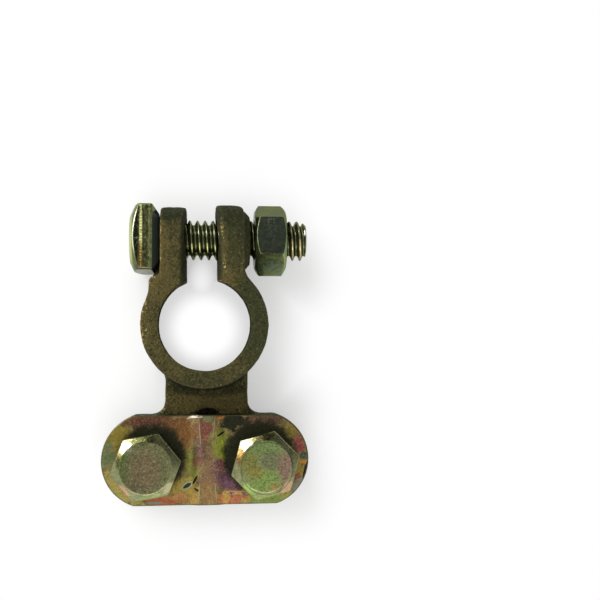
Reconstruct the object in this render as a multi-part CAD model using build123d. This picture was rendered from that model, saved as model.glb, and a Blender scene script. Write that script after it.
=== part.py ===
from build123d import *
import math
import os

os.makedirs("parts", exist_ok=True)

# Battery terminal clamp, in millimetres.
# The origin is the centre of the post bore, at the underside of the casting. +X runs along
# the clamp bolt from its head to its nut, +Y from the cable strap to the ears, +Z up.

# --- Driving dimensions -------------------------------------------------------------

# Split ring and the cone that grips the battery post, which narrows upwards
BORE_TOP_DIAMETER = 17.3
BORE_TAPER = 1 / 9  # diameter lost for each millimetre of height
RING_WALL = 3.7  # at the top
RING_HEIGHT = 13.4

# Two ears, with a slot between them that is drafted so that it opens upwards
SLOT_CENTRE_X = -0.5
SLOT_WIDTH = 5.9  # at the underside, level with the bolt's axis
SLOT_DRAFT = 1.0  # what each wall leans back over the ring's height
SLOT_LEAN = 2.0  # degrees that the right wall closes in towards the tips of the ears
LEFT_EAR_THICKNESS = 5.25
RIGHT_EAR_THICKNESS = 5.3
LEFT_EAR_TIP = 6.2  # from the bolt's axis to the end of the ear
RIGHT_EAR_TIP = 6.7
EAR_END_RADIUS = 3.7  # seen along the bolt
LEFT_EAR_CORNER = 1.0  # seen from above
RIGHT_EAR_CORNER = 1.9
EAR_ROOT_RADIUS = 3.8
BOLT_TO_RING = 4.45  # from the ring's outer wall to the bolt's axis
BOSS_DIAMETER = 9.4  # of the face that the nut bears on
BOSS_FOOT_DIAMETER = 12.2  # where its slope runs out on the ear
BOSS_HEIGHT = 1.3
LUG_WIDTH = 2.05
LUG_GAP = 1.4  # to the flat of the bolt's square head
LUG_CORNER = 0.8

# Neck and saddle, which carry the cable
NECK_WIDTH = 16.5
NECK_CENTRE_X = 0.4
NECK_LENGTH = 5.1  # from the ring's outer wall to the edge of the saddle
NECK_TOP_RADIUS = 2.9  # where the neck leaves the ring
NECK_FOOT_RADIUS = 2.6  # where it meets the saddle
STEP_RADIUS = 0.8  # in the corner between the ring's wall and the neck's top
SADDLE_THICKNESS = 5.7
CABLE_CENTRE_X = 0.7
GROOVE_WIDTH = 6.2
GROOVE_DEPTH = 3.9
GROOVE_OVERRUN = 1.0  # past the edge of the saddle, into the neck

# Strap that holds the cable down
STRAP_CENTRE_X = 0.25
STRAP_WIDTH = 17.35
STRAP_END_MARGIN = 1.9  # beyond the corners of a bolt's head
STRAP_END_SWELL = 0.47  # of the round ends' radius over half the width
STRAP_THICKNESS = 2.4
ARCH_WIDTH = 6.4
ARCH_RISE = 1.0
ARCH_BLEND = 2.0
ARCH_HOLLOW_INSET = 0.1  # of the hollow's foot from the arch's
ARCH_HOLLOW_RISE = 1.5
CROWN_FLAT_MIDDLE = 1.9  # width of the pressed flat on the arch, halfway across
CROWN_FLAT_EDGE = 3.8  # the same at either edge

# Fasteners, all with a 5/16 inch coarse thread
THREAD_DIAMETER = 7.94
THREAD_FIT = 0.05  # radial, of a shank in the thread that holds it
HOLE_CLEARANCE = 0.4  # radial, of a shank in a plain hole
SHANK_CHAMFER = 0.8

SQUARE_HEAD_MARGIN = 0.35  # from the ring's top and underside to the flats of the head
SQUARE_HEAD_HEIGHT = 5.8
SQUARE_HEAD_SEAT = 9.0  # width of the flat that bears on the ear
SQUARE_HEAD_UNDERSIDE = 1.35  # height of the bevel round that flat
SQUARE_HEAD_RIM = 9.4  # diameter of the flat on the outer face
SQUARE_HEAD_ANGLE = 24.0  # of the cone round it
SQUARE_HEAD_CORNER = 0.4
CLAMP_BOLT_LENGTH = 28.6

NUT_MARGIN = 0.5  # from the ring's top and underside to the flats of a level nut
NUT_HEIGHT = 6.2
NUT_RIM = 11.4
NUT_ANGLE = 30.0
NUT_TURN = 4.0  # degrees that its top flat leans from level
NUT_GAP = 0.7  # to the boss

STRAP_BOLT_WIDTH = 11.85
STRAP_BOLT_HEAD_HEIGHT = 5.1
STRAP_BOLT_RIM = 9.7
STRAP_BOLT_ANGLE = 30.0
STRAP_BOLT_LENGTH = 7.5
STRAP_BOLT_GAP = 0.2  # from the foot of the arch to the corners of a turning head
STRAP_BOLT_OFFSET = 0.85  # from the strap's centre line, away from the ring
LEFT_STRAP_BOLT_TURN = 9.0  # degrees from +X to a corner of the head
RIGHT_STRAP_BOLT_TURN = 14.6

# --- Places that follow from them ---------------------------------------------------

bore_top_radius = BORE_TOP_DIAMETER / 2
bore_bottom_radius = bore_top_radius + BORE_TAPER * RING_HEIGHT / 2
ring_radius = bore_top_radius + RING_WALL

bolt_axis_y = ring_radius + BOLT_TO_RING
bolt_axis_z = RING_HEIGHT / 2
square_head_width = RING_HEIGHT - 2 * SQUARE_HEAD_MARGIN
nut_width = RING_HEIGHT - 2 * NUT_MARGIN
left_ear_x = SLOT_CENTRE_X - SLOT_WIDTH / 2 - LEFT_EAR_THICKNESS
right_ear_x = SLOT_CENTRE_X + SLOT_WIDTH / 2 + RIGHT_EAR_THICKNESS
boss_x = right_ear_x + BOSS_HEIGHT
nut_x = boss_x + NUT_GAP
lug_top_y = bolt_axis_y - square_head_width / 2 - LUG_GAP
lug_x = left_ear_x - LUG_WIDTH

strap_y = -(ring_radius + NECK_LENGTH + STRAP_WIDTH / 2)
strap_near_edge_y = strap_y + STRAP_WIDTH / 2
strap_top_z = SADDLE_THICKNESS + STRAP_THICKNESS
strap_bolt_y = strap_y - STRAP_BOLT_OFFSET
strap_bolt_reach = STRAP_BOLT_WIDTH / math.sqrt(3)
arch_radius = ((ARCH_WIDTH / 2) ** 2 + ARCH_RISE**2) / (2 * ARCH_RISE)
arch_slope = math.asin(ARCH_WIDTH / 2 / arch_radius)
arch_reach = ARCH_WIDTH / 2 + ARCH_BLEND * math.tan(arch_slope / 2)
arch_foot = abs(CABLE_CENTRE_X - STRAP_CENTRE_X) + arch_reach
strap_bolt_x = arch_foot + STRAP_BOLT_GAP + strap_bolt_reach
strap_end_radius = STRAP_WIDTH / 2 + STRAP_END_SWELL
strap_end_x = strap_bolt_x + strap_bolt_reach + STRAP_END_MARGIN - strap_end_radius
strap_bolt_left_x = STRAP_CENTRE_X - strap_bolt_x
strap_bolt_right_x = STRAP_CENTRE_X + strap_bolt_x

thread_hole_radius = THREAD_DIAMETER / 2 + THREAD_FIT
plain_hole_radius = THREAD_DIAMETER / 2 + HOLE_CLEARANCE
PAST = 1.0  # how far a cutting tool runs past the face that it cuts

along_x = Plane(origin=(0, bolt_axis_y, bolt_axis_z), x_dir=(0, 1, 0), z_dir=(1, 0, 0))


def rectangle_between(low_x, low_y, high_x, high_y):
    """A flat rectangle on XY, from its lowest to its highest corner."""
    centre = Pos((low_x + high_x) / 2, (low_y + high_y) / 2)
    return centre * Rectangle(high_x - low_x, high_y - low_y)


def corner_at(sketch, x, y):
    """The corner of a sketch that lies nearest to a point."""
    return sketch.vertices().sort_by_distance((x, y, 0))[0]


def circle_y(radius, x):
    """Height above its centre of a circle at a given x."""
    return math.sqrt(radius**2 - x**2)


# --- Casting ------------------------------------------------------------------------


def ring_and_ears_plan():
    """Ring, ears and anti-turn lug from above, still without bore and slot."""
    left_tip_y = bolt_axis_y + LEFT_EAR_TIP
    right_tip_y = bolt_axis_y + RIGHT_EAR_TIP
    plan = Circle(ring_radius)
    plan += rectangle_between(left_ear_x, 0, SLOT_CENTRE_X, left_tip_y)
    plan += rectangle_between(SLOT_CENTRE_X, 0, right_ear_x, right_tip_y)
    plan += rectangle_between(lug_x, 0, left_ear_x, lug_top_y)
    lug_root_y = circle_y(ring_radius, lug_x)
    ear_root_y = circle_y(ring_radius, right_ear_x)
    plan = fillet(corner_at(plan, right_ear_x, ear_root_y), EAR_ROOT_RADIUS)
    plan = fillet(corner_at(plan, lug_x, lug_root_y), EAR_ROOT_RADIUS)
    plan = fillet(corner_at(plan, lug_x, lug_top_y), LUG_CORNER)
    plan = fillet(corner_at(plan, left_ear_x, lug_top_y), LUG_CORNER)
    plan = fillet(corner_at(plan, left_ear_x, left_tip_y), LEFT_EAR_CORNER)
    return fillet(corner_at(plan, right_ear_x, right_tip_y), RIGHT_EAR_CORNER)


def ear_envelope(low_x, high_x, tip):
    """A block with the ears' rounded end, as wide as one ear and long enough for the ring."""
    low_y = -2 * ring_radius
    tip_y = bolt_axis_y + tip
    side = rectangle_between(low_y, 0, tip_y, RING_HEIGHT)
    side = fillet(corner_at(side, tip_y, 0), EAR_END_RADIUS)
    side = fillet(corner_at(side, tip_y, RING_HEIGHT), EAR_END_RADIUS)
    block = extrude(Plane.YZ * side, high_x - low_x)
    return Pos(low_x, 0, 0) * block


def neck_and_saddle_plan():
    """Everything that is only as thick as the saddle, from above, with the ring's circle."""
    neck_left_x = NECK_CENTRE_X - NECK_WIDTH / 2
    neck_right_x = NECK_CENTRE_X + NECK_WIDTH / 2
    plan = Circle(ring_radius) + strap_outline()
    plan += rectangle_between(neck_left_x, strap_y, neck_right_x, 0)
    for x in (neck_left_x, neck_right_x):
        plan = fillet(corner_at(plan, x, -circle_y(ring_radius, x)), NECK_TOP_RADIUS)
        plan = fillet(corner_at(plan, x, strap_near_edge_y), NECK_FOOT_RADIUS)
    return plan


def step_fillet(plan):
    """Fills the corner between the ring's outer wall and the top of the neck."""
    top = SADDLE_THICKNESS + STEP_RADIUS
    corner = rectangle_between(
        ring_radius - PAST, SADDLE_THICKNESS, ring_radius + STEP_RADIUS, top
    )
    corner -= Pos(ring_radius + STEP_RADIUS, top) * Circle(STEP_RADIUS)
    band = revolve(Plane.XZ * corner, Axis.Z)
    return band & extrude(plan, top)


def cable_groove():
    """Round-bottomed channel, open at the saddle's far edge, with a ball end in the neck."""
    radius = GROOVE_WIDTH / 2
    axis_z = SADDLE_THICKNESS - GROOVE_DEPTH + radius
    end_y = strap_near_edge_y + GROOVE_OVERRUN - radius
    length = end_y - (strap_y - STRAP_WIDTH / 2 - PAST)
    plan = Pos(0, -length / 2) * Rectangle(GROOVE_WIDTH, length) + Circle(radius)
    upper = extrude(plan, SADDLE_THICKNESS + PAST - axis_z)
    lower = Rot(90, 0, 0) * extrude(Circle(radius), length)
    return Pos(CABLE_CENTRE_X, end_y, axis_z) * (upper + lower + Sphere(radius))


def slot_plan(draft):
    """The slot between the ears from above, at the height where its walls lean back so far."""
    left_x = SLOT_CENTRE_X - SLOT_WIDTH / 2 - draft
    right_x = SLOT_CENTRE_X + SLOT_WIDTH / 2 + draft
    reach = bolt_axis_y + RIGHT_EAR_TIP + PAST
    slope = math.tan(math.radians(SLOT_LEAN))
    return Polygon(
        (left_x, 0),
        (right_x + bolt_axis_y * slope, 0),
        (right_x - (reach - bolt_axis_y) * slope, reach),
        (left_x, reach),
        align=None,
    )


def ear_slot():
    """The drafted slot, open at the tips of the ears and into the bore."""
    return loft([slot_plan(0), Pos(0, 0, RING_HEIGHT) * slot_plan(SLOT_DRAFT)])


def clamp_body():
    """The one-piece casting: split ring, ears, boss, lug, neck and saddle."""
    head = extrude(ring_and_ears_plan(), RING_HEIGHT)
    left = ear_envelope(-2 * ring_radius, SLOT_CENTRE_X, LEFT_EAR_TIP)
    right = ear_envelope(SLOT_CENTRE_X, 2 * ring_radius, RIGHT_EAR_TIP)
    head = head & (left + right)
    lower_plan = neck_and_saddle_plan()
    body = head + extrude(lower_plan, SADDLE_THICKNESS) + step_fillet(lower_plan)

    body += along_x * extrude(Circle(BOSS_FOOT_DIAMETER / 2), right_ear_x)
    boss = Solid.make_cone(BOSS_FOOT_DIAMETER / 2, BOSS_DIAMETER / 2, BOSS_HEIGHT)
    body += along_x * Pos(0, 0, right_ear_x) * boss

    bore = Solid.make_cone(bore_bottom_radius, bore_top_radius, RING_HEIGHT)
    body -= bore
    body -= ear_slot()

    bolt_hole = along_x * extrude(Circle(plain_hole_radius), 2 * ring_radius, both=True)
    body -= bolt_hole
    body -= cable_groove()
    for x in (strap_bolt_left_x, strap_bolt_right_x):
        hole = Pos(x, strap_bolt_y) * extrude(Circle(thread_hole_radius), SADDLE_THICKNESS)
        body -= hole
    return body


# --- Strap --------------------------------------------------------------------------


def strap_outline():
    """Long plate with two round ends that are a little larger than it is wide."""
    ends = [Pos(side * strap_end_x, 0) * Circle(strap_end_radius) for side in (-1, 1)]
    full = Rectangle(2 * strap_end_x, STRAP_WIDTH) + ends
    length = 2 * (strap_end_x + strap_end_radius)
    return Pos(STRAP_CENTRE_X, strap_y) * (full & Rectangle(length, STRAP_WIDTH))


def bulge(width, rise, base_z):
    """The part of a circle that stands above a line: as wide and as high as asked."""
    radius = ((width / 2) ** 2 + rise**2) / (2 * rise)
    disc = Pos(0, base_z + rise - radius) * Circle(radius)
    return disc & rectangle_between(-width, base_z, width, base_z + 2 * rise)


def crown_drop(width):
    """How deep a flat of a given width is pressed into the top of the arch."""
    return arch_radius - math.sqrt(arch_radius**2 - (width / 2) ** 2)


def cable_strap():
    """Pressed plate with a shallow arch over the cable and two holes for its bolts."""
    length = 2 * (strap_end_x + strap_end_radius)
    flat = rectangle_between(-length, 0, length, STRAP_THICKNESS)
    section = flat + bulge(ARCH_WIDTH, ARCH_RISE, STRAP_THICKNESS)
    for side in (-1, 1):
        corner = corner_at(section, side * ARCH_WIDTH / 2, STRAP_THICKNESS)
        section = fillet(corner, ARCH_BLEND)
    section -= bulge(ARCH_WIDTH - 2 * ARCH_HOLLOW_INSET, ARCH_HOLLOW_RISE, 0)
    bar = extrude(Plane.XZ * section, STRAP_WIDTH, both=True)
    bar = Pos(CABLE_CENTRE_X, strap_y, SADDLE_THICKNESS) * bar
    crown_z = strap_top_z + ARCH_RISE
    strap = bar & extrude(strap_outline(), crown_z)

    half = STRAP_WIDTH / 2
    pressed = Polygon(
        (-half, crown_z - crown_drop(CROWN_FLAT_EDGE)),
        (0, crown_z - crown_drop(CROWN_FLAT_MIDDLE)),
        (half, crown_z - crown_drop(CROWN_FLAT_EDGE)),
        (half, crown_z + PAST),
        (-half, crown_z + PAST),
        align=None,
    )
    press = extrude(Plane.YZ * pressed, ARCH_WIDTH, both=True)
    strap -= Pos(CABLE_CENTRE_X, strap_y, 0) * press
    for x in (strap_bolt_left_x, strap_bolt_right_x):
        strap -= Pos(x, strap_bolt_y) * extrude(Circle(plain_hole_radius), crown_z)
    return strap


# --- Fasteners, each made upright with its head or nut above z = 0 ---------------------


def cone_top(height, rim_diameter, angle):
    """A turned blank whose top face is a small disc, with a cone sloping down from it."""
    rim = rim_diameter / 2
    reach = 2 * rim
    fall = (reach - rim) * math.tan(math.radians(angle))
    profile = Polygon(
        (0, 0),
        (reach, 0),
        (reach, height - fall),
        (rim, height),
        (0, height),
        align=None,
    )
    return revolve(Plane.XZ * profile, Axis.Z)


def hexagon(across_flats):
    """A hexagon with a corner on +X, from its size across flats."""
    return RegularPolygon(across_flats / 2, 6, major_radius=False)


def shank(length):
    """Plain shank below z = 0 with a chamfered end, at the thread's outer diameter."""
    bar = extrude(Circle(THREAD_DIAMETER / 2), -length)
    return chamfer(bar.edges().sort_by(Axis.Z)[0], SHANK_CHAMFER)


def clamp_bolt():
    """Square-headed bolt through both ears, with its head bevelled on both faces."""
    square = Rectangle(square_head_width, square_head_width)
    square = fillet(square.vertices(), SQUARE_HEAD_CORNER)
    head = extrude(square, SQUARE_HEAD_HEIGHT)
    head = head & cone_top(SQUARE_HEAD_HEIGHT, SQUARE_HEAD_RIM, SQUARE_HEAD_ANGLE)
    seat = Rectangle(SQUARE_HEAD_SEAT, SQUARE_HEAD_SEAT)
    spread = (square_head_width - SQUARE_HEAD_SEAT) / 2 / SQUARE_HEAD_UNDERSIDE
    wide = SQUARE_HEAD_SEAT + 2 * spread * SQUARE_HEAD_HEIGHT
    top = Pos(0, 0, SQUARE_HEAD_HEIGHT) * Rectangle(wide, wide)
    head = head & loft([seat, top])
    bolt = head + shank(CLAMP_BOLT_LENGTH)
    return Pos(left_ear_x, bolt_axis_y, bolt_axis_z) * Rot(0, -90, 0) * bolt


def clamp_nut():
    """Plain hexagon nut, coned on both faces."""
    nut = extrude(Rot(0, 0, 30) * hexagon(nut_width), NUT_HEIGHT)
    cone = cone_top(NUT_HEIGHT, NUT_RIM, NUT_ANGLE)
    upside_down = Pos(0, 0, NUT_HEIGHT) * Rot(180, 0, 0) * cone
    nut = nut & cone & upside_down
    nut -= extrude(Circle(thread_hole_radius), NUT_HEIGHT)
    return Pos(nut_x, bolt_axis_y, bolt_axis_z) * Rot(-NUT_TURN, 0, 0) * Rot(0, 90, 0) * nut


def strap_bolt(x, turn):
    """Short hexagon bolt that holds the strap down on the saddle."""
    head = extrude(Rot(0, 0, turn) * hexagon(STRAP_BOLT_WIDTH), STRAP_BOLT_HEAD_HEIGHT)
    head = head & cone_top(STRAP_BOLT_HEAD_HEIGHT, STRAP_BOLT_RIM, STRAP_BOLT_ANGLE)
    return Pos(x, strap_bolt_y, strap_top_z) * (head + shank(STRAP_BOLT_LENGTH))


# --- One STEP file for each piece -----------------------------------------------------

pieces = {
    "clamp_body": clamp_body(),
    "clamp_bolt": clamp_bolt(),
    "clamp_nut": clamp_nut(),
    "cable_strap": cable_strap(),
    "strap_bolt_left": strap_bolt(strap_bolt_left_x, LEFT_STRAP_BOLT_TURN),
    "strap_bolt_right": strap_bolt(strap_bolt_right_x, RIGHT_STRAP_BOLT_TURN),
}
for node, piece in pieces.items():
    piece.label = node
    export_step(piece, f"parts/{node}.step")
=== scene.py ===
import math
from contextlib import contextmanager

import bmesh
import bpy
import numpy
from mathutils import Matrix, Vector, noise


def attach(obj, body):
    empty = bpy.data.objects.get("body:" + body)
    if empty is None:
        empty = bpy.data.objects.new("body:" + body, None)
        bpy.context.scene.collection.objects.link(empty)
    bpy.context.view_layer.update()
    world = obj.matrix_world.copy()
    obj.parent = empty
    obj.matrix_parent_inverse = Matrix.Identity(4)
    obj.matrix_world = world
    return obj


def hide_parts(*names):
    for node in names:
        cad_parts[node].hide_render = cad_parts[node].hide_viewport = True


# Battery terminal clamp, dressed for the studio. Shapes are worked out in millimetres, in the
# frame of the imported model, and scaled to metres when a piece is finished.

MM = 0.001
ANYWHERE = 400.0  # a half size that takes in the whole part

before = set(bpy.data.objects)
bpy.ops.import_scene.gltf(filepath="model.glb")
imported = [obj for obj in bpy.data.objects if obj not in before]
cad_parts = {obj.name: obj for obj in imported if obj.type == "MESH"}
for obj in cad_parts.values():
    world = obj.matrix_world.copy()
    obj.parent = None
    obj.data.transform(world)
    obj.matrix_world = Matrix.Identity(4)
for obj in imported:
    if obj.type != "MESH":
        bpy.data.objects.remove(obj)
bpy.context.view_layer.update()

# --- Sizes that the dressed pieces share with the model, in millimetres --------------------

RING_HEIGHT = 13.4
STRAP_TOP = 8.1
CLAMP_Y = 16.8
CLAMP_AXIS = Vector((0.0, CLAMP_Y, 6.7))
HEAD_SEAT_X = -8.70
BOLT_END_X = 19.90
STRAP_BOLTS = {
    "strap_bolt_left": (-11.066, -26.975),
    "strap_bolt_right": (11.566, -26.975),
}
STRAP_BOLT_SHANK = 7.5

# --- Sizes of the dressed pieces alone, in millimetres -------------------------------------

THREAD_RADIUS = 3.955
THREAD_PITCH = 1.51
THREAD_DEPTH = 0.95
THREAD_END_RADIUS = 3.12
THREAD_TAPER = 1.05  # how fast the chamfered end widens
THREAD_CREST = 0.03  # half of the crest, as a share of the pitch
THREAD_ROOT = 0.43  # where the root begins, from the crest's middle
THREAD_LEAD = 1.5  # turns that the helix begins before the shank does
CLAMP_THREAD_START = 1.48  # how far inside its head each thread begins
STRAP_THREAD_START = 0.5
SEAT_GAP = 0.02  # how far a head stops short of its seat

CAST_GRAIN = 0.25  # edge lengths of the meshes
PLATE_GRAIN = 0.17
HEAD_GRAIN = 0.13
WELD = 0.0005  # points closer than this become one
THREAD_WELD = 0.002

SLOT_START = 5.0  # from here along Y, and this far to each side, lie the slot's walls
SLOT_SIDE = 7.0
SLOT_MIDDLE = -0.5
LEFT_WALL = -3.45  # where the walls stand at the foot
RIGHT_WALL = 3.04
RIGHT_CLOSING = 0.035  # how the right wall closes in along the slot
RIGHT_ROLL = 0.28  # how much further its edge rolls
ROLL_START = (5.5, 7.0)
ROLL_REACH = 2.6
ROLL_FOOT = 9.5  # height at which the inner edges begin to roll back

BORE_RADIUS = 9.39
BORE_DRAFT = 0.74
BORE_SQUEEZE = 0.022
BORE_INSIDE = 7.0
BORE_SKIN = (9.4, 10.5)  # radii over which the squeeze dies out in the ring

# The filled corner. Its height beside the lug comes in along X and is partly lost towards the
# top. At the foot of the ear there is more, up to some height. It ends inside the ear, and
# along Y it comes and goes.
CORNER_X = (-11.0, -6.5)
CORNER_Y = (7.0, 14.0)
CORNER_RISE = 1.25
CORNER_LOSS = 0.95
CORNER_LOSS_Z = (6.0, 10.5)
CORNER_START_X = (-10.95, -10.05)
CORNER_FOOT = 0.9
CORNER_FOOT_X = (-9.9, -9.2)
CORNER_FOOT_Z = (8.5, 12.0)
CORNER_END_X = (-8.6, -6.8)
CORNER_COMES_Y = (7.0, 9.2)
CORNER_GOES_Y = (9.8, 14.0)

# --- Studio sizes, in millimetres where nothing else is said -------------------------------

EYE = Vector((-0.245, -5.72, 188.1))
AIM = Vector((18.90, 5.03, 6.7))
EYE_UP = Vector((0.0045, 1.0, 0.0))
LENS = 54.94
SENSOR = 36.0
CLIP = (0.002, 20.0)  # nearest and furthest that it sees, in metres

FLOOR_HALF = 3.0  # in metres
FLOOR_HEIGHT = -0.0002
FLOOR_WHITE = (0.95, 0.95, 0.95, 1.0)
FLOOR_GLOW = 0.44  # how much of the floor is plain paper close to the part
# Boxes that the part stands in, for its shadow: middle and half sizes. The shadow fades
# between two distances from them.
FOOTPRINT = [
    ((0.0, 4.0), (11.0, 18.0)),
    ((2.7, CLAMP_Y), (16.0, 5.0)),
    ((0.25, -26.1), (17.0, 7.0)),
]
SHADOW_FADE = (2.0, 13.5)
# The paper seen through the bore and the slot, with painted light that lifts the part's shadow
# there: the places, and the glow by distance.
BORE_SPOT = (0, -0.4, 0)
BORE_LIGHT = (4.4, 9.2, 1.0, 0.60)
BORE_RIM = (9.8, 10.2, 1.0, 0.0)
SLOT_SPOT = (-0.6, 9.0, 0)
SLOT_SIZE = (5.5, 9.5, ANYWHERE)
SLOT_LIGHT = (0.0, 1.2, 0.82, 0.0)

# The room's light by height, from 0 at the floor to 1 overhead: white walls up to the first
# span, and a grey tent whose dark mouth is beyond the second.
WALL_SPAN = (0.29, 0.42, 0.8, 0.0)  # each span: low, high, and the light at either
TENT_SPAN = (0.93, 0.985, 0.96, 0.24)
DIM_BEARING = math.radians(48.0)  # the side where the tent is dim, from +X
DIM_SPAN = (0.15, 0.75, 1.0, 0.15)


# --- Helpers -------------------------------------------------------------------------------


def put_out(name, data):
    """A new object in the scene."""
    thing = bpy.data.objects.new(name, data)
    bpy.context.scene.collection.objects.link(thing)
    return thing


def tint(r, g, b):
    """A colour written as it shows on a screen, 0 to 255."""

    def linear(v):
        v /= 255
        return v / 12.92 if v <= 0.04045 else ((v + 0.055) / 1.055) ** 2.4

    return (linear(r), linear(g), linear(b), 1.0)


class Wiring:
    """A node tree under construction: makes nodes, links them and hands back sockets."""

    def __init__(self, tree):
        self.nodes = tree.nodes
        self.links = tree.links

    def plug(self, socket, value):
        """Links a socket, or sets it where the value is a plain number or colour."""
        if isinstance(value, bpy.types.NodeSocket):
            self.links.new(value, socket)
        else:
            socket.default_value = value

    def add(self, kind, inputs=None, **settings):
        """A new node, its settings, and what goes into its inputs by name or number."""
        node = self.nodes.new(kind)
        for key, value in settings.items():
            setattr(node, key, value)
        for key, value in (inputs or {}).items():
            self.plug(node.inputs[key], value)
        return node

    def maths(self, operation, a, b=0.0, c=0.0):
        """One sum of up to three numbers."""
        return self.add("ShaderNodeMath", {0: a, 1: b, 2: c}, operation=operation).outputs[0]

    def among(self, operation, numbers):
        """The greatest or the least of several numbers."""
        result = numbers[0]
        for number in numbers[1:]:
            result = self.maths(operation, result, number)
        return result

    def span(self, value, low, high, to_low=0.0, to_high=1.0):
        """Goes from to_low, where the value is low, to to_high, level at both ends."""
        inputs = {"Value": value, "From Min": low, "From Max": high}
        inputs |= {"To Min": to_low, "To Max": to_high}
        node = self.add("ShaderNodeMapRange", inputs, interpolation_type="SMOOTHSTEP")
        return node.outputs["Result"]


class Finish(Wiring):
    """A finish under construction, of a piece or of the room.

    Its colours are sockets, or three numbers as a tint has them.
    """

    def __init__(self, material):
        self.material = material
        material.use_nodes = True
        super().__init__(material.node_tree)
        self.nodes.clear()
        self.place = self.add("ShaderNodeTexCoord").outputs
        self.rag = None

    def mapped(self, centre=(0, 0, 0), turn=0.0, size=(1, 1, 1)):
        """Object coordinates in millimetres from a centre, turned about Z, divided by size."""
        inputs = {
            "Vector": self.place["Object"],
            "Location": [v * MM for v in centre],
            "Rotation": (0, 0, math.radians(turn)),
            "Scale": [v * MM for v in size],
        }
        return self.add("ShaderNodeMapping", inputs, vector_type="TEXTURE").outputs["Vector"]

    def along(self, axis):
        """Millimetres along one axis."""
        return self.add("ShaderNodeSeparateXYZ", {0: self.mapped()}).outputs[axis]

    def vector(self, operation, a, b=(0, 0, 0)):
        """One sum of two vectors."""
        return self.add("ShaderNodeVectorMath", {0: a, 1: b}, operation=operation).outputs

    def distance(self, centre, size, turn=0.0):
        """How far a place is from a centre, in units of size."""
        return self.vector("LENGTH", self.mapped(centre, turn, size))["Value"]

    def beyond(self, middle, half):
        """How far a place is outside a box seen from above."""
        place = self.mapped((*middle, 0), 0.0, (1, 1, ANYWHERE))
        past = self.vector("SUBTRACT", self.vector("ABSOLUTE", place)["Vector"], (*half, 0))
        return self.vector("LENGTH", self.vector("MAXIMUM", past["Vector"])["Vector"])["Value"]

    def grain(
        self,
        size,
        detail=3.0,
        roughness=0.55,
        distortion=0.0,
        stretch=(1, 1, 1),
        at=(0, 0, 0),
        turn=0.0,
    ):
        """Fractal noise whose features are about `size` millimetres across."""
        inputs = {
            "Vector": self.mapped(at, turn, [size * s for s in stretch]),
            "Scale": 1.0,
            "Detail": detail,
            "Roughness": roughness,
            "Distortion": distortion,
        }
        return self.add("ShaderNodeTexNoise", inputs).outputs["Fac"]

    def patch(self, x, y, half_x, half_y, turn=0.0, soft=0.3, ragged=0.3):
        """A patch seen from above with an uneven outline: 1 inside it, 0 outside."""
        if self.rag is None:
            self.rag = self.maths("MULTIPLY_ADD", self.grain(1.3, 5.0, 0.62, 0.5), 4.0, -2.0)
        away = self.distance((x, y, 0), (half_x, half_y, ANYWHERE), turn)
        edge = self.maths("MULTIPLY_ADD", self.rag, ragged, away)
        return self.span(edge, 1 - soft, 1 + soft, 1.0, 0.0)

    def stored(self, name):
        """A number kept at each point of the mesh."""
        return self.add("ShaderNodeAttribute", attribute_name=name).outputs["Fac"]

    def over(self, below, above, amount):
        """One colour laid over another by an amount."""
        inputs = {"Factor": amount}
        for key, colour in (("A", below), ("B", above)):
            inputs[key] = tint(*colour) if isinstance(colour, tuple) else colour
        return self.add("ShaderNodeMix", inputs, data_type="RGBA").outputs["Result"]

    def graded(self, below, above, value, low, high, full=1.0):
        """One colour laid over another as a value goes from low to high."""
        return self.over(below, above, self.span(value, low, high, 0.0, full))

    def stained(self, colour, stains, soft, ragged, *masks):
        """Stains laid on in turn: their middle, half sizes, turn, colour and strength."""
        for x, y, half_x, half_y, turn, shade, strength in stains:
            amount = self.patch(x, y, half_x, half_y, turn, soft, ragged)
            for share in (strength, *masks):
                amount = self.maths("MULTIPLY", amount, share)
            colour = self.over(colour, shade, amount)
        return colour

    def bumped(self, height, depth, below=None):
        """A bump whose full height is `depth` millimetres."""
        inputs = {"Strength": 1.0, "Distance": depth * MM, "Height": height}
        if below is not None:
            inputs["Normal"] = below
        return self.add("ShaderNodeBump", inputs).outputs["Normal"]

    def shade(self, colour, metallic, roughness, normal, **more):
        """The surface itself, with any other input of the shader by its name."""
        inputs = {"Base Color": colour, "Metallic": metallic, "Roughness": roughness}
        inputs["Normal"] = normal
        inputs |= {key.replace("_", " "): value for key, value in more.items()}
        self.finish(self.add("ShaderNodeBsdfPrincipled", inputs))

    def finish(self, surface, output="ShaderNodeOutputMaterial"):
        """Ends the tree with a surface."""
        self.add(output, {"Surface": surface.outputs[0]})


# --- Studio --------------------------------------------------------------------------------


def set_camera():
    """The camera above the part, held upright along EYE_UP."""
    back = (EYE - AIM).normalized()
    right = EYE_UP.cross(back).normalized()
    up = back.cross(right)
    turn = Matrix((right, up, back)).transposed().to_4x4()
    camera = put_out("camera", bpy.data.cameras.new("camera"))
    camera.data.lens = LENS
    camera.data.sensor_width = SENSOR
    camera.data.clip_start, camera.data.clip_end = CLIP
    camera.matrix_world = Matrix.Translation(EYE * MM) @ turn
    bpy.context.scene.camera = camera


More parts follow.
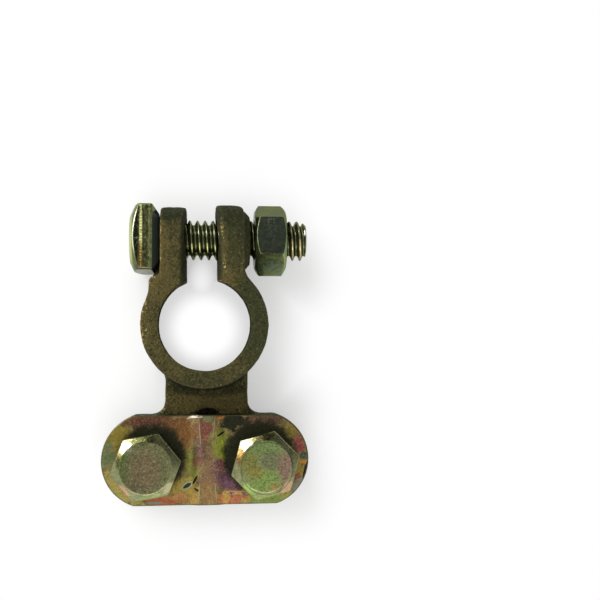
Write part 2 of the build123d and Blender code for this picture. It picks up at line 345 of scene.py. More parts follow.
def white_floor():
    """Wide white floor that keeps the part's shadow, save for painted light in the bore and the
    slot, and is plain paper further out.
    """
    floor = put_out("studio_floor", bpy.data.meshes.new("studio_floor"))
    signs = [(-1, -1), (1, -1), (1, 1), (-1, 1)]
    corners = [(x * FLOOR_HALF, y * FLOOR_HALF, FLOOR_HEIGHT) for x, y in signs]
    floor.data.from_pydata(corners, [], [(0, 1, 2, 3)])
    paper = Finish(bpy.data.materials.new("white_table"))
    rays = paper.add("ShaderNodeLightPath").outputs
    kinds = ("Is Camera Ray", "Is Glossy Ray", "Is Transmission Ray")
    seen = paper.among("MAXIMUM", [rays[kind] for kind in kinds])
    away = paper.among("MINIMUM", [paper.beyond(*box) for box in FOOTPRINT])
    share = paper.span(away, *SHADOW_FADE, FLOOR_GLOW, 1.0)
    # painted light on the paper in the bore and the slot, lifting the shadow there
    bore = paper.distance(BORE_SPOT, (1, 1, 1))
    bore = paper.maths("MULTIPLY", paper.span(bore, *BORE_LIGHT), paper.span(bore, *BORE_RIM))
    slot = paper.span(paper.distance(SLOT_SPOT, SLOT_SIZE), *SLOT_LIGHT)
    share = paper.among("MAXIMUM", [share, bore, slot])
    matt = paper.add("ShaderNodeBsdfDiffuse", {"Color": FLOOR_WHITE})
    glow = paper.add("ShaderNodeEmission", {"Strength": 1.0})
    inputs = {0: paper.maths("MULTIPLY", seen, share), 1: matt.outputs[0], 2: glow.outputs[0]}
    paper.finish(paper.add("ShaderNodeMixShader", inputs))
    floor.data.materials.append(paper.material)


def soft_box(name, bearing, height, distance, size, glow):
    """A rectangular lamp, by its bearing and height in degrees and its distance in metres.

    It is `glow` times as bright as white paper.
    """
    lamp = put_out(name, bpy.data.lights.new(name, "AREA"))
    lamp.data.shape = "RECTANGLE"
    lamp.data.size, lamp.data.size_y = size
    lamp.data.energy = math.pi * size[0] * size[1] * glow
    turn = Matrix.Rotation(math.radians(bearing), 3, "Z")
    lift = Matrix.Rotation(math.radians(-height), 3, "Y")
    place = turn @ lift @ Vector((distance, 0, 0))
    lamp.location = place
    lamp.rotation_euler = place.to_track_quat("Z", "Y").to_euler()


def studio_room():
    """White walls low down, a grey tent over the floor with a dark mouth for the camera."""
    room = Finish(bpy.data.worlds.new("studio"))
    bpy.context.scene.world = room.material
    parts = room.add("ShaderNodeSeparateXYZ", {0: room.place["Generated"]}).outputs
    across = room.maths("MULTIPLY", parts["X"], math.cos(DIM_BEARING))
    along = room.maths("MULTIPLY", parts["Y"], math.sin(DIM_BEARING))
    dim = room.span(room.maths("ADD", across, along), *DIM_SPAN)
    tent = room.maths("MULTIPLY", room.span(parts["Z"], *TENT_SPAN), dim)
    wall = room.span(parts["Z"], *WALL_SPAN)
    white = room.add("ShaderNodeLightPath").outputs["Is Camera Ray"]
    level = room.among("MAXIMUM", [tent, wall, white])
    inputs = {"Color": (1.0, 1.0, 1.0, 1.0), "Strength": level}
    room.finish(room.add("ShaderNodeBackground", inputs), "ShaderNodeOutputWorld")


def studio_light():
    """The room and two soft boxes: a bright one from the upper left, a weak one from below."""
    bpy.context.scene.view_settings.view_transform = "Standard"
    studio_room()
    soft_box("key_box", bearing=132, height=33, distance=0.90, size=(1.00, 0.34), glow=6.0)
    soft_box("low_box", bearing=-95, height=38, distance=0.90, size=(0.90, 0.30), glow=1.6)


# --- Meshes --------------------------------------------------------------------------------


@contextmanager
def on_the_bench(mesh):
    """Opens a mesh for work and writes the work back to it."""
    work = bmesh.new()
    work.from_mesh(mesh)
    yield work
    work.to_mesh(mesh)
    work.free()


def made_plain(piece):
    """Makes what the piece's modifiers show its own mesh."""
    shown = piece.evaluated_get(bpy.context.evaluated_depsgraph_get())
    plain = bpy.data.meshes.new_from_object(shown)
    piece.modifiers.clear()
    piece.data = plain
    return piece


def merged_copy(node, name):
    """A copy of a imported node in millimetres, with its loose triangles welded together."""
    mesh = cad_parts[node].data.copy()
    mesh.name = name
    mesh.transform(Matrix.Scale(1 / MM, 4))
    mesh.materials.clear()
    with on_the_bench(mesh) as work:
        bmesh.ops.remove_doubles(work, verts=work.verts, dist=WELD)
    return mesh


def cut_off(mesh, point, direction):
    """Removes what lies beyond a plane and closes the cut."""
    with on_the_bench(mesh) as work:
        everything = list(work.verts) + list(work.edges) + list(work.faces)
        bmesh.ops.bisect_plane(
            work, geom=everything, plane_co=point, plane_no=direction, clear_outer=True
        )
        rim_highlight = [edge for edge in work.edges if edge.is_boundary]
        bmesh.ops.edgeloop_fill(work, edges=rim_highlight)
        bmesh.ops.recalc_face_normals(work, faces=work.faces)


def softened(mesh, name, grain, passes):
    """An even mesh of small faces over a solid, with its edges worn round."""
    piece = put_out(name, mesh)
    remesh = piece.modifiers.new("even", "REMESH")
    remesh.mode = "VOXEL"
    remesh.voxel_size = grain
    remesh.use_smooth_shade = True
    wear = piece.modifiers.new("wear", "SMOOTH")
    wear.iterations = passes
    return made_plain(piece)


def pitted(piece, waves, seed=(0.0, 0.0, 0.0)):
    """Sinks a surface along its normals by a little noise: pairs of size and depth."""
    mesh = piece.data
    seed = Vector(seed)
    normals = [v.normal.copy() for v in mesh.vertices]
    for vertex, normal in zip(mesh.vertices, normals):
        depth = 0.0
        for size, amount in waves:
            level = noise.noise(vertex.co / size + seed)
            depth += amount * (0.5 + 0.5 * level)
        vertex.co -= normal * depth
    mesh.update()


def ease(value, low, high):
    """From 0 at low to 1 at high, level at both ends."""
    share = min(1.0, max(0.0, (value - low) / (high - low)))
    return share * share * (3 - 2 * share)


def rolled_slot(piece):
    """Fills the ears out under their upper inner edges, so that these edges are rolled."""
    for vertex in piece.data.vertices:
        x, y, z = vertex.co
        if y < SLOT_START or abs(x) > SLOT_SIDE:
            continue
        lean = z / RING_HEIGHT
        roll = lean - max(0.0, (z - ROLL_FOOT) / (RING_HEIGHT - ROLL_FOOT)) ** 2
        if x < SLOT_MIDDLE:
            wall = LEFT_WALL - lean
        else:
            wall = RIGHT_WALL - RIGHT_CLOSING * y + lean
            roll += RIGHT_ROLL * (1 - max(0.0, lean) ** 6)
        roll *= (1 - ease(abs(x - wall), 0.0, ROLL_REACH)) * ease(y, *ROLL_START)
        x += roll if x < SLOT_MIDDLE else -roll
        bore = BORE_RADIUS - BORE_DRAFT * lean
        if x * x + y * y < bore * bore:
            y = math.sqrt(bore * bore - x * x)
        vertex.co = (x, y, z)


def filled_corner(piece):
    """Fills the corner between the lug and the ear, under the bolt's square head."""
    for vertex in piece.data.vertices:
        x, y, z = vertex.co
        if not (CORNER_X[0] < x < CORNER_X[1] and CORNER_Y[0] < y < CORNER_Y[1]):
            continue
        rise = CORNER_RISE - CORNER_LOSS * ease(z, *CORNER_LOSS_Z)
        rise *= ease(x, *CORNER_START_X)
        rise += CORNER_FOOT * ease(x, *CORNER_FOOT_X) * (1 - ease(z, *CORNER_FOOT_Z))
        rise *= 1 - ease(x, *CORNER_END_X)
        vertex.co.y = y + rise * ease(y, *CORNER_COMES_Y) * (1 - ease(y, *CORNER_GOES_Y))


def squeezed_bore(piece):
    """Brings the bore's sides a little closer together, as a fitted clamp has them."""
    for vertex in piece.data.vertices:
        x, y, z = vertex.co
        away = math.hypot(x, y)
        if BORE_INSIDE < away < BORE_SKIN[1]:
            near = 1 - ease(away, *BORE_SKIN)
            vertex.co.x = x * (1 - BORE_SQUEEZE * near * abs(x) / away)


def marked(piece, passes=3):
    """Stores how proud of its neighbours each point stands, and how level its surface is."""
    mesh = piece.data
    count = len(mesh.vertices)
    place = numpy.empty(count * 3)
    mesh.vertices.foreach_get("co", place)
    place = place.reshape(-1, 3)
    normal = numpy.array([v.vector[:] for v in mesh.vertex_normals])
    ends = numpy.empty(len(mesh.edges) * 2, dtype=int)
    mesh.edges.foreach_get("vertices", ends)
    a, b = ends.reshape(-1, 2).T
    step = place[b] - place[a]
    length = numpy.maximum(numpy.linalg.norm(step, axis=1), 1e-6)
    share = numpy.bincount(a, minlength=count) + numpy.bincount(b, minlength=count)
    share = numpy.maximum(share, 1)
    fall_a = -(normal[a] * step).sum(axis=1) / length**2
    fall_b = (normal[b] * step).sum(axis=1) / length**2
    proud = numpy.bincount(a, fall_a, count) + numpy.bincount(b, fall_b, count)
    proud = 2 * proud / share
    for _ in range(passes):
        near = numpy.bincount(a, proud[b], count) + numpy.bincount(b, proud[a], count)
        proud = 0.5 * proud + 0.5 * near / share
    for name, values in (("proud", proud), ("level", numpy.abs(normal[:, 2]))):
        layer = mesh.attributes.new(name, "FLOAT", "POINT")
        layer.data.foreach_set("value", values.astype(numpy.float32))


def joined(pieces, name):
    """One object out of several."""
    work = bmesh.new()
    for piece in pieces:
        work.from_mesh(piece.data)
    mesh = bpy.data.meshes.new(name)
    work.to_mesh(mesh)
    work.free()
    for piece in pieces:
        bpy.data.objects.remove(piece)
    return put_out(name, mesh)


def handed_over(piece, material, body, node):
    """Marks a finished mesh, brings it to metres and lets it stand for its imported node."""
    marked(piece)
    piece.data.transform(Matrix.Scale(MM, 4))
    piece.data.materials.clear()
    piece.data.materials.append(material)
    for face in piece.data.polygons:
        face.use_smooth = True
    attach(piece, body)
    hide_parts(node)


# --- Threads: a sheet wound round the shank along the helix, so that its rows follow it ----


class Tree(Wiring):
    """A Geometry Nodes tree under construction, with named inputs for its sizes."""

    def __init__(self, name, sizes):
        self.tree = bpy.data.node_groups.new(name, "GeometryNodeTree")
        super().__init__(self.tree)
        side = self.tree.interface
        side.new_socket("Geometry", in_out="INPUT", socket_type="NodeSocketGeometry")
        side.new_socket("Geometry", in_out="OUTPUT", socket_type="NodeSocketGeometry")
        self.keys = {}
        for label, value in sizes.items():
            kind = "NodeSocketInt" if isinstance(value, int) else "NodeSocketFloat"
            socket = side.new_socket(label, in_out="INPUT", socket_type=kind)
            socket.default_value = value
            self.keys[label] = socket.identifier
        socket = side.new_socket("Material", in_out="INPUT", socket_type="NodeSocketMaterial")
        self.keys["Material"] = socket.identifier
        self.given = self.add("NodeGroupInput").outputs

    def close(self, geometry):
        """Ends the tree: real geometry with its material."""
        real = self.add("GeometryNodeRealizeInstances", {0: geometry}).outputs[0]
        inputs = {"Geometry": real, "Material": self.given["Material"]}
        paint = self.add("GeometryNodeSetMaterial", inputs)
        self.add("NodeGroupOutput", {0: paint.outputs[0]})


def thread_tree():
    """Screw thread on +Z from z = 0: sizes in millimetres, ends chamfered and closed."""
    t = Tree(
        "screw_thread",
        {
            "Outer Radius": THREAD_RADIUS,
            "End Radius": THREAD_END_RADIUS,
            "Depth": THREAD_DEPTH,
            "Pitch": THREAD_PITCH,
            "Length": 10.0,
            "Turns": 12,
            "Rows In A Turn": 14,
            "Sides": 56,
        },
    )
    given = t.given
    rows = t.maths("MULTIPLY", given["Turns"], given["Rows In A Turn"])
    inputs = {"Size X": 1.0, "Size Y": 1.0}
    inputs["Vertices X"] = t.maths("ADD", given["Sides"], 1.0)
    inputs["Vertices Y"] = t.maths("ADD", rows, 1.0)
    sheet = t.add("GeometryNodeMeshGrid", inputs)
    position = t.add("GeometryNodeInputPosition").outputs[0]
    parts = t.add("ShaderNodeSeparateXYZ", {0: position}).outputs
    round_share = t.maths("ADD", parts["X"], 0.5)
    row_share = t.maths("ADD", parts["Y"], 0.5)
    turn = t.maths("MULTIPLY_ADD", row_share, given["Turns"], -THREAD_LEAD)
    height = t.maths("MULTIPLY", t.maths("ADD", turn, round_share), given["Pitch"])
    height = t.maths("MAXIMUM", height, 0.0)
    height = t.maths("MINIMUM", height, given["Length"])

    # across one pitch: flat root, flank, narrow crest, flank; whole turns keep the sum positive
    across = t.maths("FRACT", t.maths("ADD", turn, 100.0))
    away = t.maths("ABSOLUTE", t.maths("SUBTRACT", across, 0.5))
    flank = t.span(away, THREAD_CREST, THREAD_ROOT)
    sunk = t.maths("MULTIPLY", flank, given["Depth"])
    radius = t.maths("SUBTRACT", given["Outer Radius"], sunk)

    # both ends chamfered
    for left in (t.maths("SUBTRACT", given["Length"], height), height):
        limit = t.maths("MULTIPLY_ADD", left, THREAD_TAPER, given["End Radius"])
        radius = t.maths("MINIMUM", radius, limit)

    angle = t.maths("MULTIPLY", round_share, math.tau)
    x = t.maths("MULTIPLY", radius, t.maths("COSINE", angle))
    y = t.maths("MULTIPLY", radius, t.maths("SINE", angle))
    point = t.add("ShaderNodeCombineXYZ", {"X": x, "Y": y, "Z": height}).outputs[0]
    inputs = {"Geometry": sheet.outputs["Mesh"], "Position": point}
    wound = t.add("GeometryNodeSetPosition", inputs)

    both = t.add("GeometryNodeJoinGeometry")
    for end in (0.0, given["Length"]):
        inputs = {"Vertices": given["Sides"], "Radius": given["End Radius"]}
        disc = t.add("GeometryNodeMeshCircle", inputs, fill_type="NGON")
        lift = t.add("ShaderNodeCombineXYZ", {"Z": end}).outputs[0]
        inputs = {"Geometry": disc.outputs["Mesh"], "Translation": lift}
        t.plug(both.inputs[0], t.add("GeometryNodeTransform", inputs).outputs[0])
    t.plug(both.inputs[0], wound.outputs[0])
    inputs = {"Geometry": both.outputs[0], "Distance": THREAD_WELD}
    t.close(t.add("GeometryNodeMergeByDistance", inputs).outputs[0])
    return t


def screw_thread(tree, name, length, material):
    """A plain mesh of one threaded shank, from z = 0 up."""
    shank = put_out(name, bpy.data.meshes.new(name))
    modifier = shank.modifiers.new("thread", "NODES")
    modifier.node_group = tree.tree
    modifier[tree.keys["Length"]] = float(length)
    modifier[tree.keys["Turns"]] = math.ceil(length / THREAD_PITCH) + 3
    modifier[tree.keys["Material"]] = material
    made_plain(shank)
    with on_the_bench(shank.data) as work:
        bmesh.ops.recalc_face_normals(work, faces=work.faces)
    return shank


# --- Wear, stains, painted shade and painted highlights, by their places seen from above ---

# Places on the casting: middle, half sizes, turn, strength. First where it is rubbed brown.
BROWN_RUBS = [
    (-8.4, 14.5, 1.5, 5.0, 0, 0.8),
    (-8.3, 7.5, 2.4, 3.0, 20, 0.8),
    (-10.8, 1.5, 1.5, 6.5, 0, 0.35),
    (4.4, 8.6, 2.2, 2.4, 0, 0.6),
    (3.6, 14.5, 0.8, 4.5, 0, 0.5),
    (-4.0, -15.6, 3.4, 2.0, 0, 0.8),
    (0.5, -15.0, 3.4, 1.8, 0, 0.7),
    (5.5, -15.6, 3.2, 2.0, 0, 0.9),
    (0.0, -14.6, 7.0, 1.8, 0, 0.35),
]
# Where its skin is greener.
GREEN_SKIN = [
    (9.6, 1.0, 3.4, 8.5, 0, 0.8),
    (-1.0, -10.8, 5.0, 1.6, 0, 0.35),
    (7.6, 6.6, 2.2, 3.4, 30, 0.5),
    (5.6, 16.0, 2.2, 6.0, 0, 0.6),
]
# Where its edges are worn to bright gold.
GOLD_WEAR = [
    (-11.6, 0.5, 1.0, 7.5, 0, 1.0),
    (-10.0, 8.6, 1.2, 1.3, 0, 1.0),
    (3.25, 18.6, 0.30, 2.2, 4, 1.5),
    (3.7, 11.6, 0.30, 2.4, 8, 1.1),
    (-8.7, 18.0, 0.45, 2.2, 0, 1.0),
    (-8.6, 13.4, 0.45, 3.4, 0, 0.6),
    (3.4, 8.2, 1.4, 1.8, 20, 0.9),
    (-7.4, -16.8, 1.2, 1.8, 0, 0.6),
    (6.4, -16.4, 2.2, 1.4, 0, 0.7),
]
# Painted shade on the ears: their rounded ends, their edges along the slot and the right ear's
# outer edge.
EAR_SHADE = [
    (-6.3, 21.9, 3.8, 2.4, 0, 1.0),
    (5.6, 21.9, 3.8, 2.9, 0, 1.0),
    (-3.7, 15.2, 1.0, 8.0, -2, 1.0),
    (2.3, 15.0, 0.8, 8.0, 3, 0.9),
    (7.0, 18.5, 1.0, 3.5, 0, 0.6),
]
# Painted shadow of the ring's step on top of the neck, in the corners under the ring.
NECK_SHADOW = [
    (-4.2, -12.8, 3.6, 0.7, -12, 0.7),
    (4.6, -12.8, 4.6, 0.9, 10, 0.6),
]
# What is laid on the casting in turn: places, colour, how ragged.
CAST_PLACES = [
    (GREEN_SKIN, (55, 60, 38), 0.3),
    (BROWN_RUBS, (94, 84, 50), 0.5),
    (EAR_SHADE, (46, 49, 33), 0.2),
    (NECK_SHADOW, (38, 39, 25), 0.3),
]

# Stains in the strap's yellow chromate, laid one over another, with one painted dark reflection
# among them: middle, half sizes, turn, colour, strength.
STRAP_STAINS_AND_REFLECTION = [
    (1.1, -28.4, 2.3, 4.4, 0, (146, 112, 88), 0.85),
    (-10.7, -18.5, 5.6, 1.5, 0, (106, 62, 52), 1.0),
    (-5.6, -19.8, 2.4, 2.0, 0, (124, 80, 46), 0.95),
    (-3.9, -22.4, 1.6, 3.4, 0, (138, 92, 48), 0.9),
    (11.7, -18.6, 5.4, 1.4, 0, (104, 76, 62), 0.95),
    (16.0, -21.6, 2.4, 2.2, 40, (142, 126, 56), 1.0),
    (-16.6, -21.8, 2.2, 3.0, 25, (150, 134, 54), 1.0),
    (-18.5, -25.2, 1.6, 2.2, 0, (112, 126, 84), 1.0),
    (-16.9, -29.8, 2.2, 3.0, -25, (178, 164, 92), 1.0),
    (-14.2, -33.2, 3.0, 1.5, -20, (182, 170, 92), 0.95),
    (-2.4, -26.8, 1.7, 3.2, 10, (150, 149, 72), 1.0),
    (-4.2, -31.6, 2.6, 2.0, -10, (184, 165, 80), 1.0),
    (-5.0, -33.5, 3.4, 1.1, 0, (196, 142, 84), 0.95),
    (-8.6, -33.8, 3.6, 0.6, -6, (200, 104, 76), 0.95),
    (-2.2, -33.0, 1.2, 1.6, 0, (178, 150, 72), 0.8),
    (0.1, -20.3, 1.4, 2.0, 0, (140, 76, 70), 0.9),
    (-1.0, -24.3, 1.2, 1.7, 10, (116, 82, 84), 0.85),
    (-1.4, -26.4, 0.9, 1.2, 0, (132, 70, 76), 0.7),
    (3.2, -23.6, 1.5, 3.6, 0, (142, 150, 62), 1.0),
    # painted dark reflection on the crown's right flank by the top edge
    (5.1, -18.9, 2.4, 1.5, 0, (38, 40, 30), 1.0),
    (3.0, -17.9, 0.7, 0.5, 0, (190, 116, 44), 1.0),
    (18.4, -23.2, 1.1, 1.8, 10, (150, 72, 74), 0.95),
    (19.2, -25.6, 1.1, 0.7, 0, (74, 84, 74), 1.0),
    (19.0, -26.8, 1.0, 0.5, 0, (196, 136, 56), 1.0),
    (18.4, -28.1, 1.0, 1.5, 0, (160, 140, 66), 1.0),
    (18.1, -30.1, 0.7, 0.9, 0, (156, 64, 64), 0.95),
    (18.2, -31.6, 1.3, 1.7, -25, (142, 148, 126), 0.85),
    (15.0, -33.2, 2.8, 1.2, -20, (176, 172, 84), 1.0),
    (11.1, -34.0, 4.2, 1.0, 0, (146, 168, 88), 1.0),
    (7.6, -33.2, 1.6, 1.6, 0, (186, 168, 76), 0.95),
    (5.0, -33.6, 2.8, 1.3, 0, (200, 122, 84), 1.0),
    (5.6, -32.5, 2.6, 0.5, -2, (224, 188, 110), 0.9),
    (4.2, -33.4, 0.8, 0.9, 0, (214, 176, 84), 0.7),
    (3.4, -27.4, 1.1, 1.8, 25, (122, 66, 92), 0.95),
    (4.6, -30.0, 1.8, 3.2, 38, (122, 82, 104), 1.0),
    (0.7, -32.6, 1.6, 2.4, 0, (160, 126, 80), 0.9),
    (0.4, -18.2, 1.3, 0.6, 0, (122, 132, 96), 0.9),
]
# Small marks with a firm outline, given as the stains are: rubs, chips, nicks and scratches, a
# painted highlight by the crown at the top edge, painted shade along the top edge, and painted
# highlights on the crown's pressed edges.
STRAP_MARKS_AND_PAINTED_LIGHT = [
    # painted highlight where the crown meets the strap's top edge
    (-2.0, -17.75, 0.95, 0.24, 6, (244, 232, 214), 1.0),
    (-0.9, -17.7, 0.6, 0.2, 0, (240, 214, 206), 1.0),
    (-3.0, -18.0, 0.4, 0.16, 20, (232, 190, 180), 1.0),
    (19.7, -28.4, 0.3, 1.7, -14, (24, 28, 26), 1.0),
    (-9.8, -34.2, 1.6, 0.2, 0, (140, 146, 128), 1.0),
    (-3.3, -31.0, 1.1, 0.50, 32, (186, 184, 150), 1.0),
    (-3.3, -31.0, 0.9, 0.33, 32, (58, 68, 60), 1.0),
    (-1.8, -29.9, 0.2, 1.0, -28, (40, 38, 24), 1.0),
    (-1.5, -31.8, 0.6, 0.2, -30, (40, 36, 26), 1.0),
    (3.2, -21.1, 0.9, 0.2, 32, (34, 34, 24), 1.0),
    (6.0, -32.3, 1.7, 0.14, -3, (206, 142, 96), 1.0),
    # painted shade along the strap's top edge
    (-9.5, -17.3, 6.0, 0.42, 0, (40, 36, 29), 1.0),
    (11.5, -17.3, 10.5, 0.42, 0, (36, 34, 29), 1.0),
    # painted highlights along the crown's pressed edges
    (-0.95, -20.3, 0.10, 2.6, 4, (160, 150, 112), 1.0),
    (1.75, -20.3, 0.10, 2.6, -6, (160, 150, 112), 1.0),
    (-1.05, -32.6, 0.10, 1.9, -3, (166, 160, 118), 1.0),
    (2.2, -32.6, 0.10, 1.9, 6, (166, 160, 118), 1.0),
]
# Painted shade on the strap round the bolts' heads, and a painted dark reflection on the crown's
# right flank by the top edge: middle and reach.
STRAP_SHADE = [
    (-10.0, -25.6, 6.5),
    (10.7, -25.65, 7.15),
    (5.2, -18.9, 1.5),
    (6.6, -18.6, 1.1),
]

# Tints on top of the strap bolts' heads, given as the strap's stains are.
HEAD_STAINS = [
    (-10.6, -26.8, 5.6, 5.6, 0, (120, 124, 84), 1.0),
    (-15.3, -26.6, 2.0, 3.4, 0, (94, 110, 62), 0.95),
    (-11.2, -27.4, 3.0, 3.8, 0, (131, 115, 87), 0.95),
    (-13.0, -30.2, 1.6, 1.2, 0, (108, 98, 74), 0.8),
    (11.6, -27.0, 5.6, 5.6, 0, (149, 160, 103), 1.0),
    (8.4, -26.0, 1.9, 2.6, 0, (140, 140, 74), 0.9),
    (11.8, -23.4, 3.2, 1.6, 0, (130, 154, 92), 0.9),
    (12.4, -26.2, 2.0, 1.8, 0, (122, 124, 94), 0.8),
    (15.6, -27.6, 1.8, 3.4, 0, (156, 128, 110), 1.0),
    (11.6, -29.8, 2.8, 2.0, 0, (144, 172, 90), 0.9),
    (13.4, -31.0, 1.2, 0.7, 0, (178, 140, 84), 0.8),
    (9.6, -28.2, 1.4, 1.2, 0, (158, 144, 70), 0.7),
]
# Scuffs on them, dark and bright: colour, the grain that they take up, strength.
HEAD_SCUFFS = [((72, 64, 44), 0.50, 0.39, 0.7), ((196, 190, 144), 0.54, 0.67, 0.5)]
# Rings pressed into one of them: middle, radius, strength.
HEAD_RINGS = [(12.1, -27.1, 2.6, 0.35), (11.78, -27.4, 4.95, 0.55)]
# Tints on their chamfers, given as the stains are, with painted highlights on the upper-left
# ones; the top ones are darker.
CHAMFER_TINTS_AND_HIGHLIGHTS = [
    (-15.2, -31.3, 1.5, 0.8, -45, (196, 160, 128), 1.0),
    (-6.6, -30.8, 1.2, 0.9, 45, (190, 184, 140), 1.0),
    (-10.6, -33.0, 3.0, 1.0, 10, (146, 158, 102), 1.0),
    (15.8, -31.4, 1.6, 1.0, 50, (196, 164, 128), 1.0),
    (8.2, -31.6, 1.8, 1.3, -40, (138, 158, 92), 1.0),
    (12.0, -33.0, 2.8, 0.9, 0, (148, 160, 98), 1.0),
    (-11.7, -22.1, 2.3, 1.2, 10, (66, 70, 36), 1.0),
    (-15.6, -25.6, 1.0, 1.5, 0, (88, 86, 48), 1.0),
    (7.0, -25.3, 1.0, 1.8, 0, (124, 98, 54), 1.0),
    (11.1, -21.8, 2.2, 1.1, 10, (64, 62, 36), 1.0),
    # painted highlights on the upper-left chamfers
    (-14.5, -23.3, 1.3, 1.1, -40, (206, 204, 190), 1.0),
    (8.1, -23.2, 1.2, 1.0, -30, (214, 212, 196), 1.0),
]

# Bars painted along the square head's face: a band of painted shade, a painted highlight and a
# paler painted highlight by its edge: middle, half width, colour.
FACE_SHADE_AND_HIGHLIGHTS = [
    (-13.25, 0.62, (44, 54, 28)),
    (-12.15, 0.30, (250, 246, 166)),
    (-10.5, 0.28, (176, 184, 120)),
]
BEAD_PITCH = 0.55  # the row of beads between the bars
FACE_X = -12.2  # middle of the lines that cross its face
# Painted highlights on the clamp bolt's thread crests: middle, half sizes, colour.
THREAD_HIGHLIGHTS = [
    (-0.8, 17.9, 4.0, 0.36, (172, 172, 152)),
    (-0.8, 14.9, 4.0, 0.95, (216, 210, 140)),
    (18.0, 15.0, 2.0, 1.8, (206, 188, 142)),
]

# Spans along the clamp bolt: its head's outer cone, and where the head's corners by its seat are
# painted dark and matt as shade.
CONE_SPAN = (-14.1, -13.7, 1.0, 0.0)
SEAT_SHADE_SPAN = (-10.15, -9.95, 0.0)
CREST_SPAN = (3.6, 3.9)  # from the root to the crest of its thread
BORE_WALL_SHADE = (8.72, 8.98, 1.0, 0.0)  # painted shade on the bore's wall, by radius

# What each surface reflects where it is seen along its skin.
SKIN_EDGE = (0.25, 0.25, 0.18, 1.0)
PLATE_EDGE = (0.50, 0.53, 0.42, 1.0)

# --- Finishes ------------------------------------------------------------------------------


def cast_brass():
    """Sand-cast brass: dark skin, level faces rubbed brown, gold where edges are worn, and
    painted shade on the ears, the neck, the slot and the bore.
    """
    f = Finish(bpy.data.materials.new("cast_brass"))
    cloud = f.grain(5.0, 3.0, 0.55)
    mottle = f.grain(1.4, 4.0, 0.62, 0.4)
    sand = f.grain(0.50, 4.0, 0.70)
    fine = f.grain(0.36, 4.0, 0.75, 0.4, (1, 0.7, 1), (20, 0, 0))
    level = f.stored("level")
    proud = f.stored("proud")

    # dark skin on what is steep, rubbed brown on what is level
    skin = f.graded((76, 79, 58), (54, 56, 38), level, 0.35, 0.93)
    # painted shade: the slot's steep walls a little darker
    slot = f.patch(SLOT_MIDDLE, 17.0, 4.3, 9.0, 0, 0.05, 0.0)
    steep = f.span(level, 0.80, 0.96, 1.0, 0.0)
    skin = f.over(skin, (66, 68, 50), f.maths("MULTIPLY", slot, steep))
    rubbed = f.graded((66, 64, 40), (79, 74, 45), cloud, 0.38, 0.62)
    colour = f.graded(skin, rubbed, level, 0.90, 0.985)
    for turn, stretch in ((28, 1.7), (-35, 1.4)):
        threads = f.grain(0.50, 4.0, 0.75, 0.6, (0.6, stretch, 1), (0, turn, 0), turn)
        colour = f.graded(colour, (112, 97, 62), threads, 0.52, 0.68, 0.75)
        colour = f.graded(colour, (48, 52, 30), threads, 0.48, 0.33, 0.75)
    # the skin's tints and rubs, then painted shade on the ears and painted shadow on the neck
    # under the ring
    for places, shade, ragged in CAST_PLACES:
        rows = [(*place, shade, strength) for *place, strength in places]
        colour = f.stained(colour, rows, 0.45, ragged)

    # grains of sand, bright scuffs, paler edges and dark hollows
    colour = f.graded(colour, (34, 36, 23), sand, 0.50, 0.30, 0.9)
    colour = f.graded(colour, (146, 134, 92), fine, 0.54, 0.76, 0.8)
    colour = f.graded(colour, (104, 96, 62), proud, 0.4, 1.2, 0.25)
    colour = f.graded(colour, (28, 29, 21), proud, -0.08, -0.6, 0.8)

    # gold flecks, thickest at the worn places
    worn = []
    for *place, strength in GOLD_WEAR:
        worn.append(f.maths("MULTIPLY", f.patch(*place, 0.5, 0.5), strength))
    near = f.maths("MULTIPLY", f.among("MAXIMUM", worn), f.span(level, 0.1, 0.5))
    fleck = f.maths("MULTIPLY_ADD", near, 0.13, f.grain(0.45, 4.0, 0.7, 0.5))
    fleck = f.maths("MULTIPLY_ADD", proud, 0.06, fleck)
    colour = f.graded(colour, (186, 162, 100), fleck, 0.69, 0.79)

    # painted shade on the bore's wall
    bore = f.span(f.distance((0, 0, 0), (1, 1, ANYWHERE)), *BORE_WALL_SHADE)
    colour = f.over(colour, (20, 21, 15), bore)
    bare = f.maths("SUBTRACT", f.span(level, 0.75, 0.97), bore)
    rough = f.span(sand, 0.3, 0.7, 0.60, 0.44)
    rough = f.maths("MULTIPLY_ADD", f.maths("SUBTRACT", 1.0, bare), 0.3, rough)
    metal = f.maths("MULTIPLY_ADD", bare, 0.55, 0.15)
    normal = f.bumped(sand, 0.32, f.bumped(mottle, 0.42))
    f.shade(colour, metal, rough, normal, Specular_IOR_Level=0.25, Specular_Tint=SKIN_EDGE)
    return f.material


def yellow_plate(f, dark, light, specks=1.0):
    """Yellow-green zinc plate with clouds, pin-holes and fine bright scuffs."""
    colour = f.graded(dark, light, f.grain(2.2, 4.0, 0.62, 0.5), 0.35, 0.65)
    speck = f.grain(0.36, 4.0, 0.75)
    colour = f.graded(colour, (50, 50, 32), speck, 0.46, 0.26, 0.9 * specks)
    return f.graded(colour, (206, 204, 156), speck, 0.58, 0.78, 0.7 * specks)


